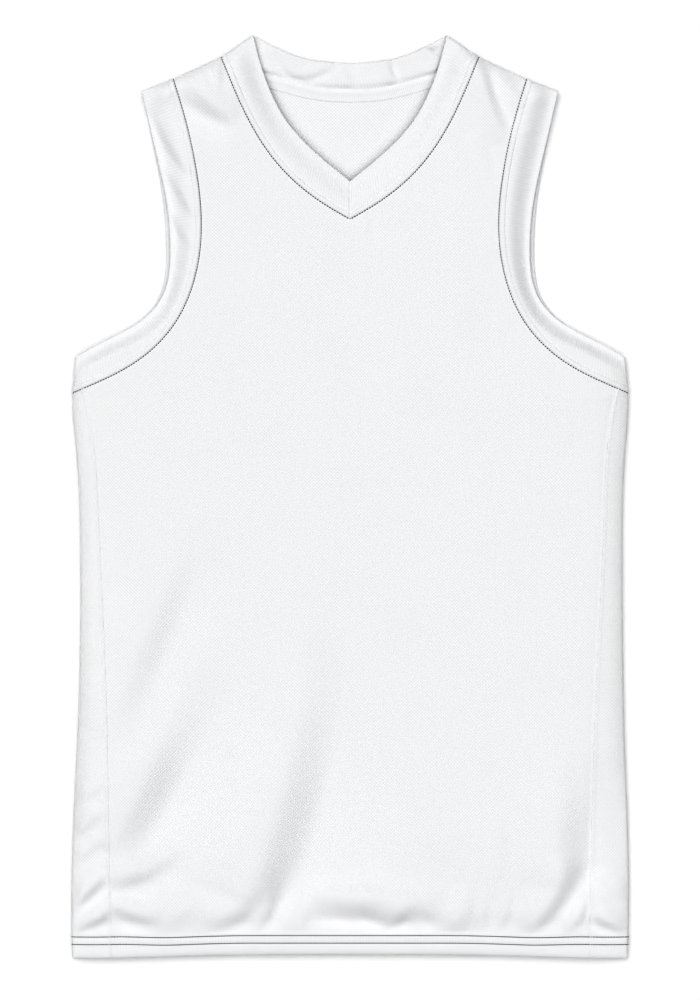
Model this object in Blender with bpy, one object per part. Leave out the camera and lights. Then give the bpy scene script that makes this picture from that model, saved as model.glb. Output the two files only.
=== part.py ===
"""A sleeveless V-neck basketball jersey that lies flat on its back, front up.

Metres, +Z up, +Y towards the neck, origin on the ground under the middle of the jersey.
Every piece of cloth starts as a skin: a grid of points on its outer face. Solidify then
gives it the thickness of the cloth, inwards, so that all undersides are flat at z = 0.
The front layer joins the back layer in round folds along the sides and the shoulders.
"""

import bpy
import numpy as np

# Cloth
KNIT = 0.0012  # wall of one layer of mesh knit
BAND = 0.0016  # neck and armhole bands are folded double
HEM = 0.0020  # the hem is turned up inside, so it is two layers
TAPE = 0.0008
SEAM_GAP = 0.0004  # between the cut edges of two pieces that are sewn together
HEM_DEPTH = 0.0185
HEM_STEP = 0.0006  # over which the cloth thins above the turned hem
TAPE_WIDTH = 0.0110
CLOTH_WHITE = (0.86, 0.86, 0.87)

# How the layers lie
FOLD_RADIUS = 0.0024  # outside of a folded edge, half of the folded height
LOFT = 0.0062  # the middle of the front stands this much above a folded edge
SIDE_REACH = 0.0100  # distance in which the front rises from the side fold
SHOULDER_REACH = 0.0120
HEM_REACH = 0.0750
HEM_SHARE = 0.25  # share of the loft that is left at the hem
NECK_EDGE_LIFT = 0.0012
ARM_EDGE_LIFT = 0.0002
BACK_ARM_SHOWS = 0.0035  # the back armhole is cut this much shallower than the front's
SHOULDER_SEAM_BACK = 0.0100  # the shoulder seam lies this far behind the fold
SHOULDER_COS = 0.90  # of the slope of the shoulder

# Corners of the right half, x and y
HIGH_POINT = (0.0838, 0.4000)
NECK_CORNER = (0.1118, 0.3808)
ARM_CORNER = (0.1530, 0.3617)
SHOULDER_TIP = (0.1806, 0.3514)
BAND_UNDERARM = (0.2384, 0.1207)
SEAM_UNDERARM = (0.2408, 0.0895)
SIDE_HEM = (0.2406, -0.4000)
CENTRE_HEM = (0.0, -0.3964)
NECK_POINT = (0.0, 0.2395)

# Curves of the right half, x and y, each from the shoulder fold on, or from the top down
NECK_SEAM = (NECK_CORNER, (0.1001, 0.3522), (0.0880, 0.3262), (0.0616, 0.2863), (0.0260, 0.2551), NECK_POINT)
NECK_EDGE = (HIGH_POINT, (0.0776, 0.3756), (0.0690, 0.3515), (0.0564, 0.3275), (0.0377, 0.3054), (0.0, 0.2733))
BACK_NECK_SEAM = (NECK_CORNER, (0.0890, 0.3715), (0.0554, 0.3610), (0.0277, 0.3544), (0.0, 0.3526))
BACK_NECK_EDGE = (HIGH_POINT, (0.0707, 0.3924), (0.0468, 0.3817), (0.0250, 0.3766), (0.0, 0.3757))
ARM_SEAM = (
    ARM_CORNER,
    (0.1400, 0.3175),
    (0.1318, 0.2760),
    (0.1283, 0.2340),
    (0.1331, 0.1926),
    (0.1504, 0.1510),
    (0.1799, 0.1199),
    (0.2130, 0.1010),
    SEAM_UNDERARM,
)
ARM_EDGE = (
    SHOULDER_TIP,
    (0.1679, 0.2967),
    (0.1590, 0.2550),
    (0.1557, 0.2135),
    (0.1633, 0.1719),
    (0.1828, 0.1510),
    (0.2109, 0.1358),
    BAND_UNDERARM,
)
SIDE_EDGE = (BAND_UNDERARM, SEAM_UNDERARM, (0.2376, 0.0360), (0.2348, -0.0600), (0.2371, -0.2100), (0.2415, -0.3400), SIDE_HEM)
SIDE_SEAM = ((0.2308, 0.0950), (0.2242, 0.0620), (0.2183, -0.0170), (0.2118, -0.1590), (0.2083, -0.2920), (0.2068, -0.3993))

# The largest folds of the front: ends of the crease, its half width and its height
FOLDS = (
    # x0, y0, x1, y1, half width, height
    (-0.127, -0.065, -0.188, -0.185, 0.013, -0.0020),
    (-0.100, -0.160, -0.196, -0.300, 0.018, -0.0030),
    (-0.030, -0.060, -0.052, -0.330, 0.020, -0.0026),
    (0.002, -0.355, 0.080, -0.350, 0.020, -0.0022),
    (0.190, -0.300, 0.165, -0.375, 0.014, -0.0026),
    (-0.075, -0.230, -0.140, -0.330, 0.020, 0.0016),
)

# The grid of points. Its rows run across the body, and turn to meet the armhole.
CHEST_Y = 0.1300  # where the row that starts at the underarm crosses the middle
ARM_TURN_Y = 0.2220  # the armhole turns outwards below this
ROWS_BODY = 13
ROWS_UNDERARM = 7
ROWS_CHEST = 9
COLUMNS = 8
BEND_STEPS = 3
BAND_ACROSS = 4
SIDE_STEPS = 3


def clear_scene():
    for thing in list(bpy.data.objects):
        bpy.data.objects.remove(thing, do_unlink=True)


def spline(points, samples=600):
    """A natural cubic spline through the points, by chord length, as a dense line."""
    p = np.array(points, float)
    t = np.concatenate([[0.0], np.cumsum(np.linalg.norm(np.diff(p, axis=0), axis=1))])
    h = np.diff(t)
    slope = np.diff(p, axis=0) / h[:, None]
    system = np.eye(len(p))
    right = np.zeros_like(p)
    for i in range(1, len(p) - 1):
        system[i, i - 1 : i + 2] = h[i - 1], 2 * (h[i - 1] + h[i]), h[i]
        right[i] = 6 * (slope[i] - slope[i - 1])
    bend = np.linalg.solve(system, right)
    s = np.linspace(0.0, t[-1], samples)
    k = np.clip(np.searchsorted(t, s) - 1, 0, len(h) - 1)
    b = ((s - t[k]) / h[k])[:, None]
    a = 1 - b
    curved = ((a**3 - a) * bend[k] + (b**3 - b) * bend[k + 1]) * (h[k] ** 2)[:, None] / 6
    return a * p[k] + b * p[k + 1] + curved


def lengths(line):
    """Distance along a line at each of its points."""
    return np.concatenate([[0.0], np.cumsum(np.linalg.norm(np.diff(line, axis=0), axis=1))])


def at(line, distances):
    """Points of a line at these distances along it."""
    along = lengths(line)
    return np.stack([np.interp(distances, along, line[:, k]) for k in range(2)], axis=1)


def moved(line, distance):
    """A line moved sideways, to its left for a positive distance."""
    direction = np.gradient(line, axis=0)
    direction /= np.linalg.norm(direction, axis=1)[:, None]
    return line + distance * np.stack([-direction[:, 1], direction[:, 0]], axis=1)


def smoothstep(t):
    t = np.clip(t, 0.0, 1.0)
    return t * t * (3 - 2 * t)


SIDE_LINE = spline(SIDE_EDGE)
SIDE_SEAM_LINE = spline(SIDE_SEAM)
SHOULDER = np.array((HIGH_POINT, NECK_CORNER, ARM_CORNER, SHOULDER_TIP))


def half_width(y):
    return np.interp(-y, -SIDE_LINE[:, 1], SIDE_LINE[:, 0])


def side_gap(x, y):
    """Distance of a point in plan from the folded side edge."""
    return half_width(y) - np.abs(x)


def shoulder_gap(x, y):
    """Distance of a point in plan from the folded shoulder edge."""
    return SHOULDER_COS * (np.interp(np.abs(x), SHOULDER[:, 0], SHOULDER[:, 1]) - y)


def fold_gap(x, y):
    return np.maximum(np.minimum(side_gap(x, y), shoulder_gap(x, y)), 0.0)


def hem_line(x):
    """y of the hem's edge: level in the middle and lower towards the sides."""
    return CENTRE_HEM[1] + (SIDE_HEM[1] - CENTRE_HEM[1]) * (np.abs(x) / SIDE_HEM[0]) ** 2


def bend(gap):
    """Height of a quarter round fold over or under its middle, at a distance from the edge."""
    return FOLD_RADIUS * np.sqrt(1 - (1 - np.clip(gap / FOLD_RADIUS, 0, 1)) ** 2)


def rise(gap, reach):
    return 1 - np.exp(-np.maximum(gap - FOLD_RADIUS, 0) / reach)


def folds(x, y):
    """Soft troughs and ridges: a bell across each crease, and a half sine along it."""
    total = np.zeros_like(x)
    for x0, y0, x1, y1, half, height in FOLDS:
        length = np.hypot(x1 - x0, y1 - y0)
        ux, uy = (x1 - x0) / length, (y1 - y0) / length
        along = ((x - x0) * ux + (y - y0) * uy) / length
        across = (x - x0) * uy - (y - y0) * ux
        taper = np.sin(np.pi * np.clip((along + 0.15) / 1.3, 0, 1))
        total += height * taper * np.exp(-((across / half) ** 2))
    return total


def lift(x, y):
    """Height of the front layer above the top of a folded edge."""
    edges = rise(side_gap(x, y), SIDE_REACH) * rise(shoulder_gap(x, y), SHOULDER_REACH)
    above_hem = smoothstep((y - hem_line(x)) / HEM_REACH)
    return edges * (LOFT * (HEM_SHARE + (1 - HEM_SHARE) * above_hem) + folds(x, y) * above_hem)


def front_height(x, y):
    return FOLD_RADIUS + bend(fold_gap(x, y)) + lift(x, y)


def back_height(x, y):
    return FOLD_RADIUS - bend(fold_gap(x, y))


def bend_gaps():
    """Distances from a fold that turn its bend in even steps, from the edge inwards."""
    return FOLD_RADIUS * (1 - np.cos(np.linspace(0, np.pi / 2, BEND_STEPS + 1)))


def from_shoulder(line, gaps):
    """Distances along a line, which starts on the shoulder fold, where it is that far from the fold."""
    near = line[:200]
    return np.interp(gaps, shoulder_gap(near[:, 0], near[:, 1]), lengths(line)[:200])


def from_side(line, gaps):
    """Distances along a line, which ends on the side fold, where it is that far from the fold."""
    near = line[-120:]
    gap = side_gap(near[:, 0], near[:, 1])
    return np.interp(gaps, gap[::-1], lengths(line)[-120:][::-1])


def steps(*stops):
    """Evenly spaced numbers through the stops: start, (end, count), (end, count) ..."""
    parts = [[stops[0]]]
    for end, count in stops[1:]:
        parts.append(np.linspace(parts[-1][-1], end, count + 1)[1:])
    return np.concatenate(parts)


def arm_line(points, back):
    """A curve of the armhole. The back's is the front's, set out towards the side in the middle."""
    line = spline(points)
    if back:
        share = lengths(line) / lengths(line)[-1]
        line = line + np.stack([BACK_ARM_SHOWS * np.sin(np.pi * share) ** 2, 0 * share], axis=1)
    return line


def arm_stations(line, corner_gap):
    """Points of an armhole curve from the shoulder fold to the side fold, with its bends."""
    gaps = bend_gaps()
    top = from_shoulder(line, [*gaps, SHOULDER_SEAM_BACK])
    bottom = from_side(line, gaps)[::-1]
    corner = from_side(line, corner_gap)
    turn = np.interp(-ARM_TURN_Y, -line[:, 1], lengths(line))
    middle = steps(top[-1], (turn, ROWS_CHEST), (corner, ROWS_UNDERARM), (bottom[0], SIDE_STEPS))
    return at(line, np.concatenate([top[:-1], middle, bottom[1:]]))


def neck_stations(line):
    """Points of a neck curve from the shoulder fold to the centre line, with its bend."""
    top = from_shoulder(line, [*bend_gaps(), SHOULDER_SEAM_BACK])
    points = at(line, np.concatenate([top[:-1], steps(top[-1], (lengths(line)[-1], ROWS_CHEST))]))
    points[-1, 0] = 0.0
    return points


def object_of(name, points, faces, wall, hem_points=None):
    """One piece of cloth: the skin as a mesh, with its wall laid inwards from it by Solidify."""
    mesh = bpy.data.meshes.new(name)
    mesh.from_pydata(points.tolist(), [], faces.tolist())
    piece = bpy.data.objects.new(name, mesh)
    bpy.context.scene.collection.objects.link(piece)
    solid = piece.modifiers.new("cloth", "SOLIDIFY")
    solid.thickness = wall
    solid.offset = -1.0
    solid.use_even_offset = False
    solid.use_rim = True
    if hem_points is not None:
        turned = piece.vertex_groups.new(name="turned_hem")
        turned.add(np.flatnonzero(hem_points).tolist(), 1.0, "REPLACE")
        solid.vertex_group = turned.name
        solid.thickness = HEM
        solid.thickness_vertex_group = wall / HEM
    material = bpy.data.materials.new(name + "_cloth")
    material.use_nodes = True
    shader = material.node_tree.nodes["Principled BSDF"]
    shader.inputs["Base Color"].default_value = (*CLOTH_WHITE, 1.0)
    shader.inputs["Roughness"].default_value = 0.85
    shader.inputs["Metallic"].default_value = 0.0
    mesh.materials.append(material)
    mesh.shade_smooth()
    mesh.set_sharp_from_angle(angle=np.radians(50))
    return piece


def grid_faces(rows, columns, closed=False):
    """Quads of a grid of points, row by row. A closed grid joins its last row to its first."""
    i, j = np.meshgrid(np.arange(rows if closed else rows - 1), np.arange(columns - 1), indexing="ij")
    a = i * columns + j
    b = (i + 1) % rows * columns + j
    return np.stack([a, a + 1, b + 1, b], axis=-1).reshape(-1, 4)


def welded(points, faces):
    """The points with doubles made one, and the faces on what is left."""
    _, first, index = np.unique(np.round(points, 7), axis=0, return_index=True, return_inverse=True)
    return points[first], index.reshape(-1)[faces]


def upward(points, faces, wanted=1.0):
    """The faces turned so that the first one faces up, or down."""
    a, b, c = points[faces[0, :3]]
    return faces if np.cross(b - a, c - a)[2] * wanted > 0 else faces[:, ::-1]


def panel_rows(inner, outer, bow):
    """Rows of points of a half panel from its inner to its outer boundary. bow curves a row."""
    t = np.linspace(0, 1, COLUMNS + 1)[None, :]
    x = inner[:, :1] * (1 - t) + outer[:, :1] * t
    y = inner[:, 1:] + (outer[:, 1:] - inner[:, 1:]) * t ** bow[:, None]
    return x, y


def body_rows():
    """y of the rows from hem to underarm on the centre line and on the side seam, and their bow."""
    hem = np.array([0.0, HEM_DEPTH, HEM_DEPTH + HEM_STEP])
    share = np.linspace(0, 1, ROWS_BODY + 1)[1:]
    inner, outer = CENTRE_HEM[1] + hem, hem_line(SIDE_SEAM[-1][0]) + hem
    inner = np.concatenate([inner, inner[-1] + (CHEST_Y - inner[-1]) * share])
    outer = np.concatenate([outer, outer[-1] + (SEAM_CORNER[1] - outer[-1]) * share])
    return inner, outer, np.concatenate([np.full(3, 2.0), 2.0 - share])


def crossing(line, other):
    """The point of a line nearest to another line."""
    far = np.linalg.norm(line[:, None] - other[None], axis=2).min(axis=1)
    return line[far.argmin()]


SEAM_CORNER = crossing(spline(ARM_SEAM), SIDE_SEAM_LINE)
CORNER_GAP = float(side_gap(*SEAM_CORNER))


def seam_x(y):
    return np.interp(-y, -SIDE_SEAM_LINE[:, 1], SIDE_SEAM_LINE[:, 0])


def half_panel(back):
    """Plan x, y and layer of the points of the right half of the front or the back panel.

    The layer is +1 on the front side of the garment and -1 on its back. The front panel goes on
    over the shoulder fold to the shoulder seam, where the back panel ends.
    """
    out = SEAM_GAP / 2
    arm = arm_stations(moved(arm_line(ARM_SEAM, back), -out), CORNER_GAP)
    arm_up = arm[: -(SIDE_STEPS + BEND_STEPS)][::-1]
    neck = neck_stations(moved(spline(BACK_NECK_SEAM if back else NECK_SEAM), out))[::-1]
    inner_y, outer_y, bow = body_rows()
    outer = np.stack([seam_x(outer_y) - out, outer_y], axis=1)
    inner = np.stack([0 * inner_y, inner_y], axis=1)
    line = moved(arm_line(ARM_SEAM, back), -out)
    outer[-1] = at(line, [from_side(line, CORNER_GAP + out)])[0]
    if back:
        necks = neck[1 : -(1 + BEND_STEPS)]
        sides = arm_up[1 : -(1 + BEND_STEPS)]
        rows = len(sides) - len(necks)
        centres = np.stack([np.zeros(rows), np.linspace(CHEST_Y, neck[0, 1], rows + 1)[1:]], axis=1)
        inner, outer = np.vstack([inner, centres, necks]), np.vstack([outer, sides])
        inner[-1] = at_gap(moved(spline(BACK_NECK_SEAM), out), SHOULDER_SEAM_BACK + out)
        outer[-1] = at_gap(moved(arm_line(ARM_SEAM, True), -out), SHOULDER_SEAM_BACK + out)
        layer = -np.ones(len(inner))
        bow = np.concatenate([bow, np.ones(len(inner) - len(bow))])
        return (*panel_rows(inner, outer, bow), layer)
    centres = np.stack([np.zeros(ROWS_UNDERARM), np.linspace(CHEST_Y, neck[0, 1], ROWS_UNDERARM + 1)[1:]], axis=1)
    behind = [*bend_gaps()[1:], SHOULDER_SEAM_BACK - out]
    neck_behind = [at_gap(moved(spline(BACK_NECK_SEAM), out), g) for g in behind]
    arm_behind = [at_gap(moved(arm_line(ARM_SEAM, True), -out), g) for g in behind]
    inner = np.vstack([inner, centres, neck[1:], neck_behind])
    outer = np.vstack([outer, arm_up[1:], arm_behind])
    layer = np.ones(len(inner))
    layer[-len(behind) :] = -1
    bow = np.concatenate([bow, np.ones(len(inner) - len(bow))])
    return (*panel_rows(inner, outer, bow), layer)


def at_gap(line, gap):
    """The point of a line, which starts on the shoulder fold, at that distance from the fold."""
    return at(line, [from_shoulder(line, gap)])[0]


def panel(name, back):
    x, y, layer = half_panel(back)
    layer = layer[:, None]
    halves, faces = [], []
    count = x.size
    quads = grid_faces(*x.shape)
    for side in (1.0, -1.0):
        z = np.where(layer > 0, front_height(side * x, y), back_height(side * x, y))
        points = np.stack([side * x, y, z], axis=-1).reshape(-1, 3)
        halves.append(points)
        faces.append(upward(points, quads, -1.0 if back else 1.0) + (count if side < 0 else 0))
    points, faces = welded(np.vstack(halves), np.vstack(faces))
    in_hem = points[:, 1] < hem_line(points[:, 0]) + HEM_DEPTH + HEM_STEP / 2
    return object_of(name, points, faces, KNIT, in_hem)


def side_panel(name, side):
    """The strip that goes round the side: from the front seam over the fold to the back seam."""
    _, rows_y, _ = body_rows()
    out = SEAM_GAP / 2
    seam_gap = side_gap(seam_x(rows_y), rows_y) - out
    shares = np.linspace(1, 0, SIDE_STEPS + 1)[:-1]
    legs = FOLD_RADIUS + (seam_gap - FOLD_RADIUS)[:, None] * shares
    round_it = np.broadcast_to(bend_gaps()[::-1], (len(rows_y), BEND_STEPS + 1))
    gap = np.hstack([legs, round_it, round_it[:, -2::-1], legs[:, ::-1]])
    layer = np.ones(gap.shape[1])
    layer[gap.shape[1] // 2 + 1 :] = -1
    y = np.repeat(rows_y[:, None], gap.shape[1], axis=1)
    y = y + hem_line(half_width(y) - gap) - hem_line(seam_x(y))
    armhole = moved(spline(ARM_SEAM), -out)[-160:]
    top = np.interp(half_width(y) - gap, armhole[:, 0], armhole[:, 1])
    near_top = smoothstep(1 - (SEAM_CORNER[1] - y) / 0.06)
    y = y + (top - SEAM_CORNER[1]) * near_top
    x = half_width(y) - gap
    z = np.where(layer > 0, front_height(side * x, y), back_height(side * x, y))
    points = np.stack([side * x, y, z], axis=-1).reshape(-1, 3)
    faces = upward(points, grid_faces(*x.shape))
    in_hem = points[:, 1] < hem_line(points[:, 0]) + HEM_DEPTH + HEM_STEP / 2
    return object_of(name, points, faces, KNIT, in_hem)


def band_skin(seam, edge, gap_of, edge_lift, side):
    """Front half of a band: rows across it from its seam to its free edge, along the stations."""
    v = np.linspace(0, 1, BAND_ACROSS + 1)[None, :, None]
    plan = seam[:, None] * (1 - v) + edge[:, None] * v
    x, y = side * plan[..., 0], plan[..., 1]
    gap = np.maximum(gap_of(x, y), 0)
    seam_lift = lift(side * seam[:, 0], seam[:, 1])[:, None]
    across = smoothstep(v[..., 0])
    height = seam_lift * (1 - across) + edge_lift * rise(gap, SHOULDER_REACH) * across
    return np.stack([x, y, FOLD_RADIUS + bend(gap) + height], axis=-1)


def band_back(seam, edge, gap_of, side):
    v = np.linspace(0, 1, BAND_ACROSS + 1)[None, :, None]
    plan = seam[:, None] * (1 - v) + edge[:, None] * v
    x, y = side * plan[..., 0], plan[..., 1]
    return np.stack([x, y, FOLD_RADIUS - bend(np.maximum(gap_of(x, y), 0))], axis=-1)


def ring(name, grid):
    points = grid.reshape(-1, 3)
    faces = grid_faces(grid.shape[0], grid.shape[1], closed=True)
    return object_of(name, points, upward(points, faces), BAND)


def armband(name, side):
    """A ring of doubled cloth round the armhole, folded at the shoulder and under the arm."""
    out = SEAM_GAP / 2
    skins = []
    for back in (False, True):
        seam = arm_stations(moved(arm_line(ARM_SEAM, back), out), CORNER_GAP)
        edge = arm_stations(arm_line(ARM_EDGE, back), CORNER_GAP)
        skins.append((seam, edge))
    front = band_skin(*skins[0], fold_gap, ARM_EDGE_LIFT, side)
    behind = band_back(*skins[1], fold_gap, side)
    return ring(name, np.vstack([front, behind[-2:0:-1]]))


def neckband(name):
    """A ring of doubled cloth round the neck, mitred at the V and folded at both shoulders."""
    out = SEAM_GAP / 2
    front_seam, front_edge = neck_stations(moved(spline(NECK_SEAM), -out)), neck_stations(spline(NECK_EDGE))
    back_seam, back_edge = neck_stations(moved(spline(BACK_NECK_SEAM), -out)), neck_stations(spline(BACK_NECK_EDGE))
    front = {s: band_skin(front_seam, front_edge, shoulder_gap, NECK_EDGE_LIFT, s) for s in (1.0, -1.0)}
    behind = {s: band_back(back_seam, back_edge, shoulder_gap, s) for s in (1.0, -1.0)}
    loop = [front[1.0][::-1], behind[1.0][1:], behind[-1.0][-2:0:-1], front[-1.0][:-1]]
    return ring(name, np.vstack(loop))


def neck_tape(name):
    """A narrow tape on the inside of the back panel, along the neck seam."""
    seam = moved(spline(BACK_NECK_SEAM), SEAM_GAP)
    start = from_shoulder(seam, SHOULDER_SEAM_BACK + 2 * TAPE_WIDTH / 3)
    edges = []
    for line in (seam, moved(seam, TAPE_WIDTH)):
        edge = at(line, np.linspace(start, lengths(line)[-1], ROWS_CHEST + 1))
        edge[-1, 0] = 0.0
        edges.append(edge)
    right = np.stack(edges, axis=1)
    plan = np.vstack([right, right[-2::-1] * (-1, 1)])
    z = np.full(plan.shape[:2], KNIT + SEAM_GAP + TAPE)
    points = np.dstack([plan, z]).reshape(-1, 3)
    return object_of(name, points, upward(points, grid_faces(len(plan), 2)), TAPE)


clear_scene()
panel("front_panel", back=False)
panel("back_panel", back=True)
for word, direction in (("right", 1.0), ("left", -1.0)):
    side_panel("side_panel_" + word, direction)
    armband("armband_" + word, direction)
neckband("neckband")
neck_tape("neck_tape")
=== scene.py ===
"""A white basketball jersey laid flat on its back: thin knit shells, sewn together."""

import bpy
import numpy as np
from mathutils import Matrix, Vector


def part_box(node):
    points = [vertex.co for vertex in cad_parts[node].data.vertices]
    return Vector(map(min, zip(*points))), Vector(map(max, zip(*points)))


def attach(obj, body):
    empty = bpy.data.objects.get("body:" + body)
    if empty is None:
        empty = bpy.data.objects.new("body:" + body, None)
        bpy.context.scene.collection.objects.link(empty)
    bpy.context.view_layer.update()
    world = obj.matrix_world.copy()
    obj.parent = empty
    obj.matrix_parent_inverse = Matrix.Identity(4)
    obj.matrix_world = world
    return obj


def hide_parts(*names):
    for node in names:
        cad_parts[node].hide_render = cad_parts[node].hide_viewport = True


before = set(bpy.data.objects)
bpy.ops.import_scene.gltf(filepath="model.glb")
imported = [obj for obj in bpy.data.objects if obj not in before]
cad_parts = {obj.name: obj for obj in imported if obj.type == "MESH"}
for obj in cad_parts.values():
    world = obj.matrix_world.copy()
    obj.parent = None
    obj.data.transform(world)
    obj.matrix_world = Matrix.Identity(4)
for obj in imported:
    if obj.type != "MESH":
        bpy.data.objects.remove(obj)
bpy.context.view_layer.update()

# ----------------------------------------------------------------------
# Front panel. One layer of white birdseye mesh knit, cut in one piece. It lies over the back
# panel, goes on over the shoulders to the shoulder seams behind, and is turned up at the hem.
# The outlines are the paper pattern's, in metres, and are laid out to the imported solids.

FOLD_RADIUS = 0.0024
LOFT = 0.0070
NECK_SINKS = 0.40
NECK_MIDDLE = 0.300
SIDE_REACH = 0.0100
SHOULDER_REACH = 0.0095
STEEP_REACH = 0.0028
SHOULDER_CREASED = (0.084, 0.108, 0.160)
SHOULDER_COS = 0.90
SHOULDER_SEAM_BACK = 0.0100
HEM_REACH = 0.0950
HEM_SHARE = 0.25
HEM_DEPTH = 0.0185
HEM_RADIUS = 0.0009
HEM_ROWS_AT = (0.0100, 0.0165)
KNIT_WALL = 0.0007
EDGE_GAP = 0.00001
BACK_ARM_SHOWS = 0.0035

PAPER_SIZE = np.array((0.2415, 0.8000))
HIGH_POINT = (0.0838, 0.4000)
NECK_CORNER = (0.1118, 0.3808)
ARM_CORNER = (0.1530, 0.3617)
SHOULDER_TIP = (0.1806, 0.3514)
BAND_UNDERARM = (0.2384, 0.1207)
SEAM_UNDERARM = (0.2408, 0.0895)
CENTRE_HEM = -0.3964
SIDE_HEM = (0.2406, -0.4000)

NECK_SEAM = (
    NECK_CORNER, (0.1001, 0.3522), (0.0880, 0.3262),
    (0.0616, 0.2863), (0.0260, 0.2551), (0.0, 0.2395),
)
ARM_SEAM = (
    ARM_CORNER, (0.1400, 0.3175), (0.1318, 0.2760), (0.1283, 0.2340), (0.1331, 0.1926),
    (0.1504, 0.1510), (0.1799, 0.1199), (0.2130, 0.1010), SEAM_UNDERARM,
)
BACK_NECK_SEAM = (NECK_CORNER, (0.0890, 0.3715), (0.0554, 0.3610), (0.0277, 0.3544), (0.0, 0.3526))
SIDE_EDGE = (
    BAND_UNDERARM, SEAM_UNDERARM, (0.2376, 0.0360), (0.2348, -0.0600),
    (0.2371, -0.2100), (0.2415, -0.3400), SIDE_HEM,
)
SIDE_SEAM = (
    (0.2308, 0.0950), (0.2242, 0.0620), (0.2183, -0.0170),
    (0.2118, -0.1590), (0.2083, -0.2920), (0.2068, -0.3993),
)

low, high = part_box("side_panel_right")
neck_low, neck_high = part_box("neckband")
LAID_SIZE = np.array((high.x, neck_high.y - low.y))
LAID_OUT = LAID_SIZE / PAPER_SIZE

# Creases of the front, in millimetres. Each runs along a curve through three points. Seen along
# the curve, the cloth stands half the crease's height up on the right and half of it down on the
# left. It falls over the crease's width, which is given at both ends, and comes back to level
# on both sides over the way back. The last number is where along the curve it is deepest.
FRONT_CREASES = (
    # x0, y0, xm, ym, x1, y1, width, end width, way back, height, deepest
    (-138, -45, -166, -120, -204, -212, 24, 32, 40, 5.0, 0.62),
    (-100, -85, -140, -195, -199, -312, 52, 30, 45, 9.0, 0.78),
    (-26, -50, -32, -205, -76, -356, 36, 46, 50, 11.0, 0.80),
    (-58, -305, -80, -350, -121, -377, 24, 15, 16, 5.4, 0.66),
    (-60, -325, -66, -352, -79, -379, 12, 9, 8, 4.2, 0.74),
    (-134, -296, -168, -324, -208, -337, 12, 17, 16, 5.2, 0.74),
    (-165, -370, -187, -364, -210, -355, 11, 14, 10, 6.4, 0.60),
    (-135, -352, -143, -364, -156, -376, 8, 8, 8, 1.0, 0.50),
    (80, -366, 20, -361, -38, -354, 36, 24, 10, 10.0, 0.55),
    (2, -360, 9, -370, 15, -380, 11, 11, 8, 3.0, 0.60),
    (54, -352, 45, -366, 29, -381, 12, 13, 10, 5.0, 0.60),
    (58, -358, 61, -370, 66, -380, 11, 12, 8, 3.2, 0.60),
    (132, -270, 134, -300, 133, -335, 12, 10, 20, 1.2, 0.50),
    (104, -335, 103, -358, 98, -380, 14, 16, 12, 4.0, 0.64),
    (120, -338, 119, -360, 116, -380, 12, 14, 10, 3.4, 0.64),
    (137, -335, 137, -358, 129, -380, 6, 9, 7, 2.6, 0.65),
    (196, -215, 194, -270, 190, -338, 40, 30, 34, 7.4, 0.72),
    (197, -312, 184, -345, 156, -379, 24, 10, 12, 6.8, 0.48),
    (204, -348, 200, -364, 187, -379, 8, 9, 8, 3.2, 0.50),
    (17, 218, 16, 232, 14, 243, 4, 3, 5, -0.7, 0.60),
    (-98, 322, -121, 333, -148, 355, 10, 22, 18, 6.2, 0.62),
    (-115, 357, -118, 366, -117, 376, 6, 8, 6, 2.4, 0.50),
    (112, 386, 121, 352, 137, 309, 9, 14, 14, 5.8, 0.46),
    (127, 378, 139, 358, 152, 338, 14, 14, 10, 5.0, 0.42),
    (111, 313, 117, 296, 127, 276, 5, 6, 8, 1.2, 0.50),
    (204, 98, 216, 91, 231, 85, 4, 5, 6, 1.3, 0.50),
    (-212, -250, -226, -260, -240, -272, 8, 9, 8, 2.0, 0.50),
    (-213, -274, -226, -284, -241, -298, 8, 9, 8, 2.8, 0.50),
    (-213, -299, -226, -308, -241, -322, 8, 9, 8, 2.4, 0.50),
    (-209, -330, -225, -344, -243, -364, 8, 9, 7, 5.0, 0.50),
    (-208, -364, -222, -369, -242, -379, 8, 9, 6, 4.6, 0.45),
    (243, -380, 226, -373, 209, -363, 9, 9, 6, 5.0, 0.60),
    (242, -353, 226, -340, 209, -330, 9, 9, 10, 2.0, 0.50),
    (235, -246, 222, -232, 212, -221, 6, 6, 8, 0.8, 0.50),
    (-137, 275, -160, 308, -178, 350, 7, 8, 8, 1.9, 0.50),
    (-135, 240, -146, 258, -161, 285, 6, 7, 7, 1.6, 0.50),
    (-138, 212, -147, 228, -154, 245, 7, 6, 6, 1.3, 0.50),
)


def spline(points, samples=900):
    """A natural cubic spline through the pattern's points, by chord length, as a dense line."""
    p = np.array(points, float) * LAID_OUT
    t = np.concatenate([[0.0], np.cumsum(np.linalg.norm(np.diff(p, axis=0), axis=1))])
    h = np.diff(t)
    slope = np.diff(p, axis=0) / h[:, None]
    system = np.eye(len(p))
    right = np.zeros_like(p)
    for i in range(1, len(p) - 1):
        system[i, i - 1 : i + 2] = h[i - 1], 2 * (h[i - 1] + h[i]), h[i]
        right[i] = 6 * (slope[i] - slope[i - 1])
    bent = np.linalg.solve(system, right)
    s = np.linspace(0.0, t[-1], samples)
    k = np.clip(np.searchsorted(t, s) - 1, 0, len(h) - 1)
    b = ((s - t[k]) / h[k])[:, None]
    a = 1 - b
    curved = ((a**3 - a) * bent[k] + (b**3 - b) * bent[k + 1]) * (h[k] ** 2)[:, None] / 6
    return a * p[k] + b * p[k + 1] + curved


def lengths(line):
    """Distance along a line at each of its points."""
    return np.concatenate([[0.0], np.cumsum(np.linalg.norm(np.diff(line, axis=0), axis=1))])


def at(line, distances):
    """Points of a line at these distances along it."""
    along = lengths(line)
    return np.stack([np.interp(distances, along, line[:, k]) for k in range(line.shape[1])], axis=1)


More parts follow.
